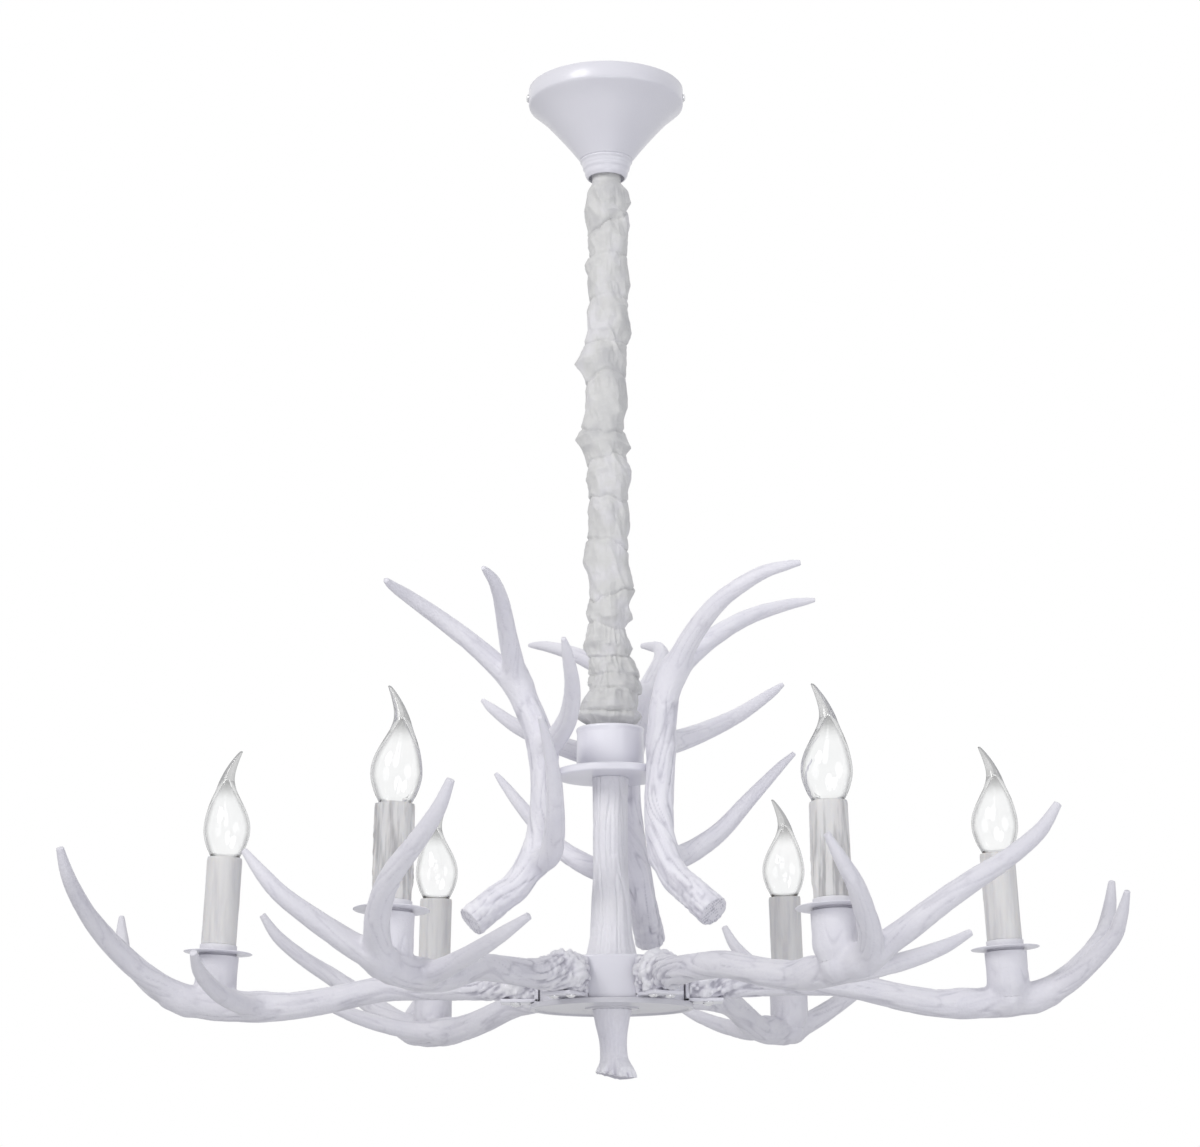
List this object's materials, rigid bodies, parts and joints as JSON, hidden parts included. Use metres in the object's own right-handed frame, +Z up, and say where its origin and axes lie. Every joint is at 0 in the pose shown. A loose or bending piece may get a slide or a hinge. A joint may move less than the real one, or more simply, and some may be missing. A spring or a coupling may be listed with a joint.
{
  "type": "antler chandelier",
  "caption": "White cast-resin antler chandelier: antler arms with candle lamps round a hub, upright antlers round the column, hung on a fabric-sleeved chain from a cone canopy.",
  "frame": {"origin": "centre of the mounting plane on the ceiling, between the two ceiling screws", "axes": "+Z up to the ceiling, X along the ceiling bracket and through the right-hand arm, Y away from the viewer of the picture"},
  "size_m": [0.7882, 0.7944, 0.774],
  "materials": {
    "white_resin": "satin paint",
    "white_enamel": "gloss enamel",
    "sleeve_fabric": "gathered satin",
    "candle_plastic": "satin",
    "holder_plastic": "matte",
    "nickel_brass": "nickel plated",
    "clear_glass": "clear",
    "zinc_steel": "zinc plated",
    "bright_steel": "bright"
  },
  "bodies": {
    "ceiling": {"ceiling_bracket": "zinc_steel", "canopy_screws": "bright_steel", "canopy": "white_enamel", "canopy_collar": "white_enamel", "ceiling_eye": "zinc_steel"},
    "top_ring": {"top_ring": "zinc_steel"},
    "hanger": {"chain": "zinc_steel", "cloth_sleeve": "sleeve_fabric"},
    "bottom_ring": {"bottom_ring": "zinc_steel"},
    "column_eye": {"column_eye": "zinc_steel"},
    "fixture": {"column_cap": "white_enamel", "column": "white_resin", "centre_rod": "zinc_steel", "rod_nuts": "zinc_steel", "hub_drum": "white_enamel", "hub_disc": "white_enamel", "finial": "white_resin", "arm_brackets": "white_enamel", "arm_screws": "bright_steel", "lamp_nipples": "zinc_steel", "upright_screws": "bright_steel", "arm_antler_1": "white_resin", "drip_pan_1": "white_enamel", "candle_sleeve_1": "candle_plastic", "lamp_holder_1": "holder_plastic", "arm_antler_2": "white_resin", "drip_pan_2": "white_enamel", "candle_sleeve_2": "candle_plastic", "lamp_holder_2": "holder_plastic", "arm_antler_3": "white_resin", "drip_pan_3": "white_enamel", "candle_sleeve_3": "candle_plastic", "lamp_holder_3": "holder_plastic", "arm_antler_4": "white_resin", "drip_pan_4": "white_enamel", "candle_sleeve_4": "candle_plastic", "lamp_holder_4": "holder_plastic", "arm_antler_5": "white_resin", "drip_pan_5": "white_enamel", "candle_sleeve_5": "candle_plastic", "lamp_holder_5": "holder_plastic", "arm_antler_6": "white_resin", "drip_pan_6": "white_enamel", "candle_sleeve_6": "candle_plastic", "lamp_holder_6": "holder_plastic", "upright_antler_1": "white_resin", "upright_antler_2": "white_resin", "upright_antler_3": "white_resin"},
    "bulb_1_cap": {"bulb_cap_1": "nickel_brass"},
    "bulb_1_glass": {"bulb_glass_1": "clear_glass"},
    "bulb_2_cap": {"bulb_cap_2": "nickel_brass"},
    "bulb_2_glass": {"bulb_glass_2": "clear_glass"},
    "bulb_3_cap": {"bulb_cap_3": "nickel_brass"},
    "bulb_3_glass": {"bulb_glass_3": "clear_glass"},
    "bulb_4_cap": {"bulb_cap_4": "nickel_brass"},
    "bulb_4_glass": {"bulb_glass_4": "clear_glass"},
    "bulb_5_cap": {"bulb_cap_5": "nickel_brass"},
    "bulb_5_glass": {"bulb_glass_5": "clear_glass"},
    "bulb_6_cap": {"bulb_cap_6": "nickel_brass"},
    "bulb_6_glass": {"bulb_glass_6": "clear_glass"}
  },
  "joints": [
    {"name": "swing_front_back", "type": "hinge", "parent": "ceiling", "child": "top_ring", "pos_m": [0, 0, -0.062], "axis": [1, 0, 0], "range_deg": [-12, 12]},
    {"name": "swing_side", "type": "hinge", "parent": "top_ring", "child": "hanger", "pos_m": [0, 0, -0.07315], "axis": [0, 1, 0], "range_deg": [-12, 12]},
    {"name": "tilt_front_back", "type": "hinge", "parent": "hanger", "child": "bottom_ring", "pos_m": [0, 0, -0.48365], "axis": [1, 0, 0], "range_deg": [-5, 5]},
    {"name": "tilt_side", "type": "hinge", "parent": "bottom_ring", "child": "column_eye", "pos_m": [0, 0, -0.4948], "axis": [0, 1, 0], "range_deg": [-5, 5]},
    {"name": "turn_about_chain", "type": "hinge", "parent": "column_eye", "child": "fixture", "pos_m": [0, 0, -0.517], "axis": [0, 0, 1], "range_deg": [-180, 180]},
    {"name": "bulb_1_lift", "type": "slide", "parent": "fixture", "child": "bulb_1_cap", "axis": [-0.0489, 0, 0.9988], "range_m": [0, 0.00997]},
    {"name": "bulb_1_turn", "type": "hinge", "parent": "bulb_1_cap", "child": "bulb_1_glass", "pos_m": [0.28856, 0, -0.62436], "axis": [-0.0489, 0, 0.9988], "range_deg": [0, 1260]},
    {"name": "bulb_2_lift", "type": "slide", "parent": "fixture", "child": "bulb_2_cap", "axis": [-0.0244, -0.0423, 0.9988], "range_m": [0, 0.00997]},
    {"name": "bulb_2_turn", "type": "hinge", "parent": "bulb_2_cap", "child": "bulb_2_glass", "pos_m": [0.14428, 0.2499, -0.62436], "axis": [-0.0244, -0.0423, 0.9988], "range_deg": [0, 1260]},
    {"name": "bulb_3_lift", "type": "slide", "parent": "fixture", "child": "bulb_3_cap", "axis": [0.0244, -0.0423, 0.9988], "range_m": [0, 0.00997]},
    {"name": "bulb_3_turn", "type": "hinge", "parent": "bulb_3_cap", "child": "bulb_3_glass", "pos_m": [-0.14428, 0.2499, -0.62436], "axis": [0.0244, -0.0423, 0.9988], "range_deg": [0, 1260]},
    {"name": "bulb_4_lift", "type": "slide", "parent": "fixture", "child": "bulb_4_cap", "axis": [0.0489, 0, 0.9988], "range_m": [0, 0.00997]},
    {"name": "bulb_4_turn", "type": "hinge", "parent": "bulb_4_cap", "child": "bulb_4_glass", "pos_m": [-0.28856, 0, -0.62436], "axis": [0.0489, 0, 0.9988], "range_deg": [0, 1260]},
    {"name": "bulb_5_lift", "type": "slide", "parent": "fixture", "child": "bulb_5_cap", "axis": [0.0244, 0.0423, 0.9988], "range_m": [0, 0.00997]},
    {"name": "bulb_5_turn", "type": "hinge", "parent": "bulb_5_cap", "child": "bulb_5_glass", "pos_m": [-0.14428, -0.2499, -0.62436], "axis": [0.0244, 0.0423, 0.9988], "range_deg": [0, 1260]},
    {"name": "bulb_6_lift", "type": "slide", "parent": "fixture", "child": "bulb_6_cap", "axis": [-0.0244, 0.0423, 0.9988], "range_m": [0, 0.00997]},
    {"name": "bulb_6_turn", "type": "hinge", "parent": "bulb_6_cap", "child": "bulb_6_glass", "pos_m": [0.14428, -0.2499, -0.62436], "axis": [-0.0244, 0.0423, 0.9988], "range_deg": [0, 1260]}
  ],
  "couplings": [
    {"joint": "bulb_1_lift", "follows": "bulb_1_turn", "m_per_rad": 0.00044882},
    {"joint": "bulb_2_lift", "follows": "bulb_2_turn", "m_per_rad": 0.00044882},
    {"joint": "bulb_3_lift", "follows": "bulb_3_turn", "m_per_rad": 0.00044882},
    {"joint": "bulb_4_lift", "follows": "bulb_4_turn", "m_per_rad": 0.00044882},
    {"joint": "bulb_5_lift", "follows": "bulb_5_turn", "m_per_rad": 0.00044882},
    {"joint": "bulb_6_lift", "follows": "bulb_6_turn", "m_per_rad": 0.00044882}
  ]
}
